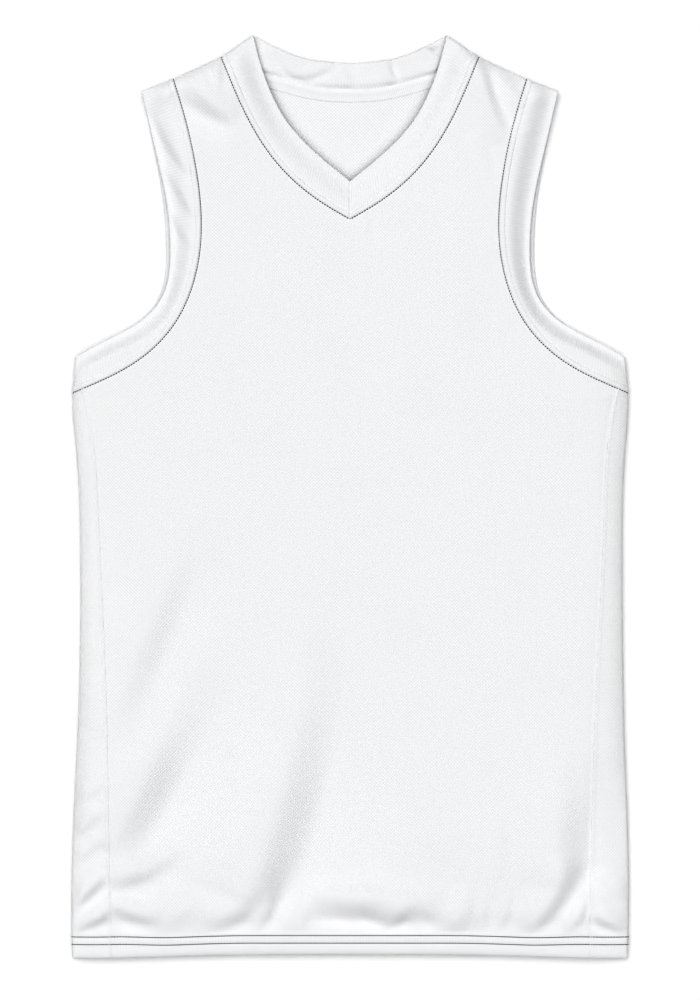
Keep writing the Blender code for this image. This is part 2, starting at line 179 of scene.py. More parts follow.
def moved(line, distance):
    """A line moved sideways, to its left for a positive distance."""
    direction = np.gradient(line, axis=0)
    direction /= np.linalg.norm(direction, axis=1)[:, None]
    return line + distance * np.stack([-direction[:, 1], direction[:, 0]], axis=1)


def smooth(t):
    """The smooth step from 0 to 1."""
    t = np.clip(t, 0.0, 1.0)
    return t * t * (3 - 2 * t)


def bell(t):
    """1 in the middle, falling to 0 as e to the power of minus the square."""
    return np.exp(-t * t)


def unit(vectors):
    """Vectors divided by their lengths."""
    return vectors / np.maximum(np.linalg.norm(vectors, axis=-1, keepdims=True), 1e-12)


SIDE_LINE = spline(SIDE_EDGE)
SIDE_SEAM_LINE = spline(SIDE_SEAM)
SHOULDER = np.array((HIGH_POINT, NECK_CORNER, ARM_CORNER, SHOULDER_TIP)) * LAID_OUT


def half_width(y, line=SIDE_LINE):
    """x of the folded side edge, or of another side curve, read off it at this y."""
    return np.interp(-y, -line[:, 1], line[:, 0])


def seam_x(y):
    return half_width(y, SIDE_SEAM_LINE)


def side_gap(x, y):
    """Distance of a point in plan from the folded side edge."""
    return half_width(y) - np.abs(x)


def shoulder_gap(x, y):
    """Distance of a point in plan from the folded shoulder edge."""
    return SHOULDER_COS * (np.interp(np.abs(x), SHOULDER[:, 0], SHOULDER[:, 1]) - y)


def fold_gap(x, y):
    """Distance from the nearer of the two folded edges, and 0 beyond them."""
    return np.maximum(np.minimum(side_gap(x, y), shoulder_gap(x, y)), 0.0)


def hem_line(x):
    """y of the hem's edge: level in the middle, lower towards the sides by a smooth step."""
    drop = smooth((np.abs(x) / SIDE_HEM[0] - 0.35) / 0.6)
    return (CENTRE_HEM + (SIDE_HEM[1] - CENTRE_HEM) * drop) * LAID_OUT[1]


def bend(gap):
    """Height of a quarter round fold over its middle, at a distance from the edge."""
    return FOLD_RADIUS * np.sqrt(1 - (1 - np.clip(gap / FOLD_RADIUS, 0, 1)) ** 2)


def bend_length(gap):
    """Length along the cloth from the edge of a fold to a point that far from it in plan."""
    return FOLD_RADIUS * np.arccos(1 - np.clip(gap / FOLD_RADIUS, 0, 1)) + np.maximum(gap - FOLD_RADIUS, 0)


def rise(gap, reach):
    """From 0 at an edge to 1 well inside it: 1 less the exponential of minus gap over reach."""
    return 1 - np.exp(-np.maximum(gap, 0) / reach)


CREASE_POINTS = 13
CREASE_FADE = 0.6


def creases(x, y, table):
    """Sum of soft creases. Across one, the cloth falls as a smooth step and comes back to level as
    a bell on both sides. Along it, the height is a power of a sine, so that it ends at nothing
    at both ends, and the share along is bent so that its peak comes at the given place."""
    total = np.zeros_like(x)
    t = np.linspace(0, 1, CREASE_POINTS)[:, None]
    here = np.stack([x, y], axis=-1)[..., None, :]
    for row in table:
        start, middle, end = np.array(row[:6]).reshape(3, 2) / 1000
        wide, end_wide, back, height = np.array(row[6:10]) / 1000
        curve = (1 - t) * (1 - 2 * t) * start + 4 * t * (1 - t) * middle + t * (2 * t - 1) * end
        reach = 2.5 * back + max(wide, end_wide)
        low, high = curve.min(axis=0) - reach, curve.max(axis=0) + reach
        near = (x > low[0]) & (x < high[0]) & (y > low[1]) & (y < high[1])
        first, step = curve[:-1], np.diff(curve, axis=0)
        offset = here[near] - first
        along = np.clip((offset * step).sum(-1) / (step**2).sum(-1), 0, 1)
        apart = offset - along[..., None] * step
        distance = np.linalg.norm(apart, axis=-1)
        nearest = distance.argmin(axis=-1)[:, None]
        turn = step[:, 0] * apart[..., 1] - step[:, 1] * apart[..., 0]
        signed = np.take_along_axis(distance * np.sign(turn), nearest, 1)[:, 0]
        share = (nearest + np.take_along_axis(along, nearest, 1))[:, 0] / len(step)
        width = wide + (end_wide - wide) * share
        fall = (smooth(signed / width + 0.5) - 0.5) * bell(np.maximum(np.abs(signed) - width / 2, 0) / back)
        peaked = np.sin(np.pi * share ** (np.log(0.5) / np.log(row[10])))
        total[near] -= height * fall * np.abs(peaked) ** CREASE_FADE
    return total


def undulation(x, y):
    """Three slow waves that cross each other, as cloth has that was smoothed by hand."""
    first = np.sin(31 * x + 19 * y + 1.0) * np.sin(43 * y - 12 * x)
    second = np.sin(71 * x - 37 * y + 2.2) * np.sin(57 * y + 44 * x + 0.6)
    return 0.00022 * first + 0.00010 * second


def hem_share(x, y):
    """0 on the stitched hem and 1 well above it, by a quick and a slow smooth step."""
    above = y - hem_line(x) - HEM_ROWS_AT[1]
    return 0.6 * smooth(above / 0.024) + 0.4 * smooth(above / HEM_REACH)


def off_edges(x, y):
    """0 on the folded edges of the front and 1 well inside them: the rise from the side times
    that from the shoulder, which is mostly a steep one along the creased middle of the shoulder."""
    inner_end = np.where(x > 0, SHOULDER_CREASED[0], SHOULDER_CREASED[1])
    share = smooth((np.abs(x) - inner_end) / 0.008) * smooth((SHOULDER_CREASED[2] - np.abs(x)) / 0.010)
    share = 0.8 * share
    gap = shoulder_gap(x, y)
    over_shoulder = share * rise(gap, STEEP_REACH) + (1 - share) * rise(gap, SHOULDER_REACH)
    return rise(side_gap(x, y), SIDE_REACH) * over_shoulder


def steady_lift(x, y):
    """Height of the smoothed front layer above the top of a folded edge: its loft, less at the
    hem and, by a bell, round the neck, with slow waves on it."""
    above = hem_share(x, y)
    loft = LOFT * (1 - NECK_SINKS * bell(np.hypot(x, y - NECK_MIDDLE) / 0.085))
    return off_edges(x, y) * (loft * (HEM_SHARE + (1 - HEM_SHARE) * above) + undulation(x, y) * above)


def crease_lift(x, y):
    """What the creases add to it. They end at the stitched hem and at the folded edges."""
    above = smooth((y - hem_line(x) - HEM_ROWS_AT[1]) / 0.012)
    return np.minimum(off_edges(x, y) * 1.6, 1) * above * creases(x, y, FRONT_CREASES)


def hem_rise(x):
    """How much higher the rows of stitches run over the sides than in the middle: a smooth step."""
    return 0.0022 * smooth((np.abs(x) - 0.150) / 0.055)


HEM_RELIEF_FROM = 0.004


def hem_relief(x, y):
    """The hem: a dip along each row of stitches, and a puff between the rows and below them."""
    e = y - hem_line(x)
    dips = sum(bell((e - hem_rise(x) - row) / 0.0010) for row in HEM_ROWS_AT)
    puff = bell((e - sum(HEM_ROWS_AT) / 2) / 0.0022) * 0.5
    puff = puff + bell((e - 0.005) / 0.004) * (1 + 0.4 * np.sin(95 * x + 1))
    step = 1 - smooth((e - HEM_DEPTH + 0.001) / 0.002)
    roll = -0.0015 * np.exp(-np.maximum(e, 0) / 0.0022)
    return 0.00035 * step + 0.00022 * puff - 0.00045 * dips + roll


def distance_to(x, y, line):
    """Distance in plan of each point from a dense line or from its mirror image."""
    some = line[:: max(1, len(line) // 220)]
    flat = np.stack([np.abs(x), y], axis=-1).reshape(-1, 2)
    apart = [np.linalg.norm(part[:, None] - some, axis=2).min(axis=1) for part in np.array_split(flat, 40)]
    return np.concatenate(apart).reshape(x.shape)


def seam_dip(distance):
    """Cloth at a seam: it turns down into the seam, and stands up a little beside it."""
    return -0.00028 * bell(distance / 0.0006) + 0.00008 * bell((distance - 0.0024) / 0.0012)


def front_height(x, y):
    """Height of the outer face of the front layer. It softly stops at the layer below: half the
    sum of the height over that and the root of its square and a small square."""
    gap = fold_gap(x, y)
    edge = FOLD_RADIUS + bend(gap)
    lowest = edge - FOLD_RADIUS * smooth(gap / 0.014)
    over = edge + steady_lift(x, y) + crease_lift(x, y) - lowest
    return lowest + 0.5 * (over + np.sqrt(over**2 + 0.0004**2)) - 0.0002 * bell(over / 0.004)


def back_height(x, y):
    """Height of the outer face of the back layer, which lies on the surface under it."""
    return FOLD_RADIUS - bend(fold_gap(x, y))


def settled(points):
    """Every point moved as the cloth settled: a slow drift to the right half way up the body."""
    drift = 0.0013 * bell((points[..., 1] + 0.10) / 0.17)
    return points + np.stack([drift, 0 * drift, 0 * drift], axis=-1)


BEND_STEPS = 9


def bend_gaps():
    """Distances from a fold that turn its bend in even steps, from the edge inwards."""
    return FOLD_RADIUS * (1 - np.cos(np.linspace(0, np.pi / 2, BEND_STEPS + 1)))


def from_shoulder(line, gaps):
    """Distances along a line, which starts on the shoulder fold, where it is that far from it."""
    near = line[:300]
    return np.interp(gaps, shoulder_gap(near[:, 0], near[:, 1]), lengths(line)[:300])


def from_side(line, gaps):
    """Distances along a line, which ends on the side fold, where it is that far from it."""
    near = line[-180:]
    gap = side_gap(near[:, 0], near[:, 1])
    return np.interp(gaps, gap[::-1], lengths(line)[-180:][::-1])


def steps(*stops):
    """Evenly spaced numbers through the stops: start, (end, count), (end, count) ..."""
    parts = [[stops[0]]]
    for end, count in stops[1:]:
        parts.append(np.linspace(parts[-1][-1], end, count + 1)[1:])
    return np.concatenate(parts)


def arm_line(points, back):
    """A curve of the armhole. The back's lies further out towards the side in the middle."""
    line = spline(points)
    if back:
        share = lengths(line) / lengths(line)[-1]
        line = line + np.stack([BACK_ARM_SHOWS * np.sin(np.pi * share) ** 2, 0 * share], axis=1)
    return line


def nearest_point(line, other):
    """The point of a line that is nearest to another line."""
    far = np.linalg.norm(line[:, None] - other[None], axis=2).min(axis=1)
    return line[far.argmin()]


SEAM_CORNER = nearest_point(spline(ARM_SEAM), SIDE_SEAM_LINE)
CORNER_GAP = float(side_gap(*SEAM_CORNER))
CHEST_Y = 0.1300
ARM_TURN_Y = 0.2220
ROWS_BODY, ROWS_UNDERARM, ROWS_CHEST, SIDE_STEPS = 118, 34, 46, 8


def arm_stations(line, chest=ROWS_CHEST, underarm=ROWS_UNDERARM):
    """Points of an armhole curve from the shoulder fold to the side fold, with its bends."""
    gaps = bend_gaps()
    top = from_shoulder(line, [*gaps, SHOULDER_SEAM_BACK])
    bottom = from_side(line, gaps)[::-1]
    corner = from_side(line, CORNER_GAP)
    turn = np.interp(-ARM_TURN_Y, -line[:, 1], lengths(line))
    middle = steps(top[-1], (turn, chest), (corner, underarm), (bottom[0], SIDE_STEPS))
    return at(line, np.concatenate([top[:-1], middle, bottom[1:]]))


def neck_stations(line, counts=((0.0, ROWS_CHEST),)):
    """Points of a neck curve from the shoulder fold to the centre line. Each count is of the
    steps down to that distance from the centre."""
    top = from_shoulder(line, [*bend_gaps(), SHOULDER_SEAM_BACK])
    whole = lengths(line)[-1]
    down = steps(top[-1], *[(whole - rest, count) for rest, count in counts])
    points = at(line, np.concatenate([top[:-1], down]))
    points[-1, 0] = 0.0
    return points


def at_gap(line, gap):
    """The point of a line that is this far from the shoulder fold."""
    return at(line, [from_shoulder(line, gap)])[0]


HEM_STEPS = np.linspace(HEM_RADIUS, HEM_DEPTH + 0.0035, 26)


def body_rows():
    """y of the rows from hem to underarm on the centre line and on the side seam, and their bow."""
    share = np.linspace(0, 1, ROWS_BODY + 1)[1:]
    inner = CENTRE_HEM * LAID_OUT[1] + HEM_STEPS
    outer = hem_line(SIDE_SEAM[-1][0]) + HEM_STEPS
    inner = np.concatenate([inner, inner[-1] + (CHEST_Y - inner[-1]) * share])
    outer = np.concatenate([outer, outer[-1] + (SEAM_CORNER[1] - outer[-1]) * share])
    return inner, outer, np.concatenate([np.full(len(HEM_STEPS), 2.0), 2.0 - share])


def columns(count):
    """Shares across a half panel, closer together near the seams at both of its ends."""
    fine = np.array([0.0, 0.0025, 0.005, 0.0082, 0.0125, 0.0185, 0.027, 0.038])
    return np.concatenate([fine, np.linspace(0.052, 0.948, count), 1 - fine[::-1]])


def half_panel(back, across):
    """Plan x, y and layer of the points of the right half of the front or the back panel. The
    layer is 1 on the front side of the garment and -1 on its back."""
    arm_edge = moved(arm_line(ARM_SEAM, back), -EDGE_GAP)
    neck_edge = moved(spline(BACK_NECK_SEAM if back else NECK_SEAM), EDGE_GAP)
    back_neck_edge = moved(spline(BACK_NECK_SEAM), EDGE_GAP)
    back_arm_edge = moved(arm_line(ARM_SEAM, True), -EDGE_GAP)
    arm = arm_stations(arm_edge)[: -(SIDE_STEPS + BEND_STEPS)][::-1]
    neck = neck_stations(neck_edge)[::-1]
    inner_y, outer_y, bow = body_rows()
    outer = np.stack([seam_x(outer_y) - EDGE_GAP, outer_y], axis=1)
    outer[-1] = at(arm_edge, [from_side(arm_edge, CORNER_GAP + EDGE_GAP)])[0]
    inner = np.stack([0 * inner_y, inner_y], axis=1)
    if back:
        necks, sides = neck[1 : -(1 + BEND_STEPS)], arm[1 : -(1 + BEND_STEPS)]
        rows = len(sides) - len(necks)
        behind = []
    else:
        necks, sides = neck[1:], arm[1:]
        rows = ROWS_UNDERARM
        behind = [*bend_gaps()[1:], *np.linspace(FOLD_RADIUS, SHOULDER_SEAM_BACK - EDGE_GAP, 4)[1:]]
    centres = np.stack([np.zeros(rows), np.linspace(CHEST_Y, neck[0, 1], rows + 1)[1:]], axis=1)
    inner = np.vstack([inner, centres, necks, *[at_gap(back_neck_edge, gap)[None] for gap in behind]])
    outer = np.vstack([outer, sides, *[at_gap(back_arm_edge, gap)[None] for gap in behind]])
    if back:
        inner[-1] = at_gap(back_neck_edge, SHOULDER_SEAM_BACK + EDGE_GAP)
        outer[-1] = at_gap(back_arm_edge, SHOULDER_SEAM_BACK + EDGE_GAP)
    layer = np.full(len(inner), -1.0 if back else 1.0)
    layer[len(inner) - len(behind) :] = -1
    bow = np.concatenate([bow, np.ones(len(inner) - len(bow))])
    t = across[None, :]
    x = inner[:, :1] * (1 - t) + outer[:, :1] * t
    y = inner[:, 1:] + (outer[:, 1:] - inner[:, 1:]) * t ** bow[:, None]
    return x, y, layer[:, None]


def turned_up(points, outward, uv):
    """A skin and its cloth coordinates with the hem: the lowest row is carried on round the hem's
    edge, by a half circle, and up inside. The cloth's length goes on over the turn."""
    inside = np.arange(len(HEM_STEPS))[HEM_STEPS < HEM_DEPTH][:0:-3]
    turn = np.linspace(-np.pi / 2, np.pi / 2, 7)[:-1, None, None]
    first, normal, up = points[:1], outward[:1], unit(points[1:2] - points[:1])
    edge = first - HEM_RADIUS * (np.cos(turn) * up + (1 - np.sin(turn)) * normal)
    skin = np.concatenate([points[inside] - 2 * HEM_RADIUS * outward[inside], edge, points])
    edge_uv = uv[:1] + HEM_RADIUS * (turn - np.pi / 2) * np.array([0.0, 1.0])
    folded = np.array([0.0, 2.0]) * uv[:1] + np.array([1.0, -1.0]) * uv[inside]
    folded[..., 1] -= np.pi * HEM_RADIUS
    return skin, np.concatenate([folded, edge_uv, uv])


def grid_faces(rows, count, closed=False):
    """Quads of a grid of points, row by row. A closed grid joins its last row to its first."""
    i, j = np.meshgrid(np.arange(rows if closed else rows - 1), np.arange(count - 1), indexing="ij")
    a = i * count + j
    b = (i + 1) % rows * count + j
    return np.stack([a, a + 1, b + 1, b], axis=-1).reshape(-1, 4)


def cloth(name, points, faces, face_uv, wall, material):
    """A piece of cloth: its outer skin as a mesh, the wall laid inwards, and sharp cut edges."""
    mesh = bpy.data.meshes.new(name)
    mesh.from_pydata(points, [], faces)
    mesh.uv_layers.new(name="cloth").data.foreach_set("uv", face_uv.astype(np.float32).ravel())
    edge_of_loop = np.empty(len(mesh.loops), np.int32)
    mesh.loops.foreach_get("edge_index", edge_of_loop)
    cut = np.bincount(edge_of_loop, minlength=len(mesh.edges)) == 1
    mesh.shade_smooth()
    mesh.attributes.new("sharp_edge", "BOOLEAN", "EDGE").data.foreach_set("value", cut)
    mesh.materials.append(material)
    piece = bpy.data.objects.new(name, mesh)
    bpy.context.scene.collection.objects.link(piece)
    solid = piece.modifiers.new("wall", "SOLIDIFY")
    solid.thickness = wall
    solid.offset = -1.0
    solid.use_rim = True
    return piece


def welded(points, faces):
    """The points with doubles made one, and the faces on what is left."""
    _, first, index = np.unique(np.round(points, 7), axis=0, return_index=True, return_inverse=True)
    return points[first], index.reshape(-1)[faces]


class Wire:
    """An output of a shader node. Sums and products of wires add their Math nodes."""

    def __init__(self, finish, socket):
        self.finish = finish
        self.socket = socket

    def math(self, operation, *others):
        values = dict(enumerate((self, *others)))
        return self.finish.node("ShaderNodeMath", {"operation": operation}, values)

    def __add__(self, other):
        return self.math("ADD", other)

    def __sub__(self, other):
        return self.math("SUBTRACT", other)

    def __rsub__(self, other):
        return self.finish.node("ShaderNodeMath", {"operation": "SUBTRACT"}, {0: other, 1: self})

    def __mul__(self, other):
        return self.math("MULTIPLY", other)

    __radd__ = __add__
    __rmul__ = __mul__

    def wave(self, pitch, shift=0.0):
        """The cosine of a length along the cloth that repeats at this pitch."""
        return (self * (2 * np.pi / pitch) + shift).math("COSINE")


class Finish:
    """A material and its nodes."""

    def __init__(self, name, **constants):
        self.material = bpy.data.materials.new(name)
        self.material.use_nodes = True
        self.tree = self.material.node_tree
        self.shader = self.tree.nodes["Principled BSDF"]
        for key, value in constants.items():
            self.shader.inputs[key.replace("_", " ")].default_value = value

    def node(self, kind, settings=None, inputs=None, output=0):
        """Any node: its type, its settings, the values or wires of its sockets, and which output."""
        made = self.tree.nodes.new(kind)
        for key, value in (settings or {}).items():
            setattr(made, key, value)
        for key, value in (inputs or {}).items():
            self.feed(made.inputs[key], value)
        return Wire(self, made.outputs[output])

    def feed(self, socket, value):
        if isinstance(value, Wire):
            self.tree.links.new(value.socket, socket)
        else:
            socket.default_value = value

    def mix(self, share, first, second):
        """A colour between two, by the share of the second."""
        colours = {0: share, 6: (*first, 1.0), 7: (*second, 1.0)}
        return self.node("ShaderNodeMix", {"data_type": "RGBA"}, colours, 2)

    def cloth_uv(self):
        """The place on the cloth: a wire of the vector, and its two lengths."""
        place = self.node("ShaderNodeUVMap", {"uv_map": "cloth"})
        return place, *(self.node("ShaderNodeSeparateXYZ", None, {0: place}, k) for k in (0, 1))


# The knit's white, and the grey that is painted into its eyelets and grooves as painted shade.
WHITE = (0.874, 0.874, 0.878)
PAINTED_SHADE = (0.675, 0.68, 0.695)


def birdseye(name, pitch=0.0028, depth=0.00012, contrast=0.28):
    """Birdseye mesh: staggered small eyelets between plump stitches, as the product of two cosines, on fine
    upright wales, a third cosine. The colour is painted darker in the eyelets, as painted shade in the holes.
    A slow noise varies the tone a little."""
    finish = Finish(name, Specular_IOR_Level=0.3)
    place, u, v = finish.cloth_uv()
    check = u.wave(pitch) * v.wave(pitch)
    wales = u.wave(pitch / 3)
    eyelet = (0.5 - 0.5 * check).math("POWER", 2.2)
    noise = {0: place, "Scale": 22.0, "Detail": 3.0}
    slow = finish.node("ShaderNodeTexNoise", {"noise_dimensions": "2D"}, noise)
    # Painted shade: the colour is mixed towards the grey in the eyelets.
    tone = finish.mix(eyelet * contrast + (slow - 0.5) * 0.05 + 0.02, WHITE, PAINTED_SHADE)
    finish.feed(finish.shader.inputs["Base Color"], tone)
    height = 0.5 * check + 0.18 * wales
    bump = finish.node("ShaderNodeBump", None, {"Strength": 1.0, "Distance": depth, "Height": height})
    finish.feed(finish.shader.inputs["Normal"], bump)
    finish.feed(finish.shader.inputs["Roughness"], 0.54 + 0.12 * eyelet)
    return finish.material


mesh_knit = birdseye("mesh_knit")


def front_normal(x, y, step=0.0002):
    """Unit normals of the front layer, from its slopes along x and y over a small step."""
    slope_x = (front_height(x + step, y) - front_height(x - step, y)) / (2 * step)
    slope_y = (front_height(x, y + step) - front_height(x, y - step)) / (2 * step)
    return unit(np.stack([-slope_x, -slope_y, np.ones_like(x)], axis=-1))


def panel(name, back, height, relief, sign):
    """Both halves of a panel as one skin, from its plan and its height, with the hem turned up."""
    x, y, layer = half_panel(back, columns(40 if back else 52))
    halves = []
    for side in (1.0, -1.0):
        z = np.where(layer > 0, front_height(side * x, y), back_height(side * x, y))
        z = z + sign * relief(side * x, y) * np.where(layer == sign, 1.0, 0.25) + height(side * x, y)
        points = np.stack([side * x, y, z], axis=-1)
        up = np.array([0.0, 0.0, 1.0]) + 0 * points if back else front_normal(side * x, y)
        outward = sign * up
        gap = np.maximum(shoulder_gap(x, y), 0)
        v = np.where(layer == sign, y, y + gap + bend_length(gap) + FOLD_RADIUS * (np.pi / 2 - 1))
        points, uv = turned_up(points, outward, np.stack([side * x, v], axis=-1))
        faces = grid_faces(*points.shape[:2])
        if side * sign < 0:
            faces = faces[:, ::-1]
        if side < 0:
            faces = faces + points.shape[0] * points.shape[1]
        halves.append((points.reshape(-1, 3), faces, uv.reshape(-1, 2)))
    points, faces, uv = (np.vstack(parts) for parts in zip(*halves))
    face_uv = uv[faces]
    points, faces = welded(points, faces)
    return cloth(name, settled(points), faces, face_uv, KNIT_WALL, mesh_knit)


NECK_SEAM_LINE, ARM_SEAM_LINE = spline(NECK_SEAM), arm_line(ARM_SEAM, False)


def front_relief(x, y):
    """Relief of the sewing on the front: the dips at the neck and armhole seams, a shallow
    trough and a small ridge at the side seam, and the hem."""
    neck, arm, side = (distance_to(x, y, line) for line in (NECK_SEAM_LINE, ARM_SEAM_LINE, SIDE_SEAM_LINE))
    at_side = 0.00014 * bell(side / 0.0008) - 0.00022 * bell((side - 0.0024) / 0.0018)
    return seam_dip(neck) + seam_dip(arm) + at_side + hem_relief(x, y)


front_panel = panel("front_cloth", False, lambda x, y: 0 * x, front_relief, 1.0)
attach(front_panel, "root")
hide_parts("front_panel")

# ----------------------------------------------------------------------
# Back panel. The same knit in one piece up to the shoulder seams, flat on the surface under
# it. A few low creases are pressed into it, and its inside shows through the neck opening. Its
# creases are given as those of the front are.

BACK_CREASES = (
    (-150, -360, -120, -240, -60, -90, 14, 10, 20, -1.0, 0.5),
    (40, -372, 60, -250, 120, -120, 14, 12, 22, -1.1, 0.5),
    (170, -340, 150, -280, 160, -180, 10, 12, 18, -0.9, 0.5),
    (-190, 60, -120, 40, -40, 70, 12, 12, 18, -0.7, 0.5),
    (-120, 300, -60, 250, 10, 240, 12, 10, 16, -0.6, 0.5),
    (130, 290, 90, 230, 70, 150, 10, 12, 14, -0.6, 0.5),
    (-18, 332, 0, 322, 20, 330, 10, 10, 12, -0.4, 0.5),
)


def raised(height):
    """A height with what is below nothing flattened, as cloth on the surface can only rise: half
    the sum of the height and the root of its square and a small square."""
    return 0.5 * (height + np.sqrt(height**2 + 0.0003**2)) - 0.00015


def back_creases(x, y):
    """Low ridges of the back panel, which fade out at its edges."""
    edge = smooth((y - hem_line(x)) / 0.05) * smooth((side_gap(x, y) - 0.03) / 0.03)
    edge = edge * smooth((shoulder_gap(x, y) - 0.02) / 0.03)
    return np.maximum(raised(2 * creases(x, y, BACK_CREASES)), 0) * edge


BACK_NECK_LINE, BACK_ARM_LINE = spline(BACK_NECK_SEAM), arm_line(ARM_SEAM, True)


def back_relief(x, y):
    """Relief of the sewing on the back, which is pressed flat: only the seams and stitch rows."""
    near = [distance_to(x, y, line) for line in (BACK_NECK_LINE, BACK_ARM_LINE, SIDE_SEAM_LINE)]
    e = y - hem_line(x)
    dips = sum(bell((e - row) / 0.0010) for row in HEM_ROWS_AT)
    return -0.0003 * (sum(bell(d / 0.001) for d in near) + dips)


back_panel = panel("back_cloth", True, back_creases, back_relief, -1.0)
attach(back_panel, "root")
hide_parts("back_panel")

# ----------------------------------------------------------------------
# Side panels. A tapered strip of the knit goes round each side, from the front side seam over
# the folded edge to the back side seam. Beside its seams it stands up as a thin ridge.


def outward_of(points, closed=False):
    """Unit normals of a grid of points, out of the side that its rows and columns turn to."""
    if closed:
        along = np.roll(points, -1, axis=0) - np.roll(points, 1, axis=0)
    else:
        along = np.gradient(points, axis=0)
    return unit(np.cross(along, np.gradient(points, axis=1)))


def grid_cloth(name, points, uv, wall, material, closed_by=None):
    """A piece made of one grid. closed_by is the length after which its rows repeat."""
    rows, count = points.shape[:2]
    faces = grid_faces(rows, count, closed=closed_by is not None)
    face_uv = uv.reshape(-1, 2)[faces]
    if closed_by is not None:
        last = slice(-(count - 1), None)
        face_uv[last, 2:, 0] += closed_by
    return cloth(name, settled(points).reshape(-1, 3), faces, face_uv, wall, material)


def side_skin(side):
    """The outer face of a side panel: columns from the front seam round the fold to the back,
    in rows that follow the hem and, at the top, the armhole."""
    _, rows_y, _ = body_rows()
    seam_gap = side_gap(seam_x(rows_y), rows_y) - EDGE_GAP
    shares = np.concatenate([[1.0, 0.975, 0.945, 0.90, 0.84], np.linspace(0.76, 0.0, 11)[:-1]])
    legs = FOLD_RADIUS + (seam_gap - FOLD_RADIUS)[:, None] * shares
    around = np.broadcast_to(bend_gaps()[::-1], (len(rows_y), BEND_STEPS + 1))
    gap = np.hstack([legs, around, around[:, -2::-1], legs[:, ::-1]])
    layer = np.where(np.arange(gap.shape[1]) > gap.shape[1] // 2, -1.0, 1.0)
    y = np.repeat(rows_y[:, None], gap.shape[1], axis=1)
    y = y + hem_line(half_width(y) - gap) - hem_line(seam_x(y))
    armhole = moved(spline(ARM_SEAM), -EDGE_GAP)[-240:]
    top = np.interp(half_width(y) - gap, armhole[:, 0], armhole[:, 1])
    y = y + (top - SEAM_CORNER[1]) * smooth(1 - (SEAM_CORNER[1] - y) / 0.06)
    x = half_width(y) - gap
    z = np.where(layer > 0, front_height(side * x, y), back_height(side * x, y))
    points = np.stack([side * x, y, z], axis=-1)
    outward = outward_of(points)
    outward = outward * np.sign(outward[60, 3, 2])
    ridge = 0.00036 * bell((seam_gap[:, None] - gap - 0.0011) / 0.0010) * np.where(layer > 0, 1.0, 0.2)
    near_arm = distance_to(x, y, ARM_SEAM_LINE)
    hem = hem_relief(side * x, y) * np.clip(gap / HEM_RELIEF_FROM, 0, 1)
    points = points + outward * (ridge + (seam_dip(near_arm) + hem) * (layer > 0))[..., None]
    u = x + gap - layer * bend_length(gap) + FOLD_RADIUS * (np.pi / 2 - 1)
    return points, outward, np.stack([side * u, y], axis=-1)


for word, side in (("right", 1.0), ("left", -1.0)):
    skin, uv = turned_up(*side_skin(side))
    if side > 0:
        skin, uv = skin[:, ::-1], uv[:, ::-1]
    side_panel = grid_cloth("side_cloth_" + word, skin[:, ::-1], uv[:, ::-1], KNIT_WALL, mesh_knit)
    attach(side_panel, "root")
    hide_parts("side_panel_" + word)

# ----------------------------------------------------------------------
# Armhole bands. A strip of knit folded double, its fold at the free edge, is sewn round each
# armhole. The seam allowance under it stands up as a narrow strip beside the seam. ACROSS holds
# the places of a band's columns, from its seam to its free edge.

BAND_WALL = 0.00065
BAND_RADIUS = 0.0008
ALLOWANCE = 0.0050
ARM_EDGE = (
    SHOULDER_TIP, (0.1679, 0.2967), (0.1590, 0.2550), (0.1557, 0.2135),
    (0.1633, 0.1719), (0.1828, 0.1510), (0.2109, 0.1358), BAND_UNDERARM,
)
AT_SEAM = [0, 0.012, 0.026, 0.042, 0.062, 0.088, 0.115, 0.138, 0.155, 0.168, 0.18, 0.194, 0.212, 0.24]
ACROSS = np.concatenate([AT_SEAM, np.linspace(0.28, 0.94, 17), [0.962, 0.973]])


def band_relief(distance):
    """Across a band from its seam: down into the seam, up over the allowance, and a faint
    line where the allowance is stitched down."""
    strip = smooth((distance - 0.0002) / 0.0014) - smooth((distance - ALLOWANCE + 0.0004) / 0.0013)
    stitched = 0.00020 * bell((distance - ALLOWANCE - 0.0005) / 0.0005)
    return 0.00050 * strip - 0.00028 * bell(distance / 0.0006) - stitched


def flat_share(x):
    """Share of a band's width that stays level beside the seam. It is larger under the arm."""
    return 0.26 + 0.22 * smooth((x - 0.150) / 0.050)


def band_front(seam, edge, gap_of, side, edge_lift=0.0):
    """Front half of a band: from the height of its seam down to that of its free edge, by a
    smooth step that starts where the level part beside the seam ends."""
    v = ACROSS[None, :, None]
    plan = seam[:, None] * (1 - v) + edge[:, None] * v
    x, y = side * plan[..., 0], plan[..., 1]
    gap = np.maximum(gap_of(x, y), 0)
    at_seam = steady_lift(side * seam[:, 0], seam[:, 1])[:, None]
    flat = flat_share(seam[:, 0])[:, None]
    down = smooth((v[..., 0] - flat) / (0.88 - flat))
    height = at_seam * (1 - down) + edge_lift * rise(gap, SHOULDER_REACH) * down
    z = FOLD_RADIUS + bend(gap) + height + crease_lift(x, y)
    across = ACROSS[None, :] * np.linalg.norm(edge - seam, axis=1)[:, None]
    return np.stack([x, y, z], axis=-1), band_relief(across)


def band_behind(seam, edge, gap_of, side, ripple=None):
    """Back half of a band, which lies on the surface under it, or stands off it in ripples."""
    v = ACROSS[None, :, None]
    plan = seam[:, None] * (1 - v) + edge[:, None] * v
    x, y = side * plan[..., 0], plan[..., 1]
    z = FOLD_RADIUS - bend(np.maximum(gap_of(x, y), 0))
    if ripple is not None:
        z = z + ripple(x, y)
    across = ACROSS[None, :] * np.linalg.norm(edge - seam, axis=1)[:, None]
    return np.stack([x, y, z], axis=-1), 0.25 * band_relief(across) - 0.00013


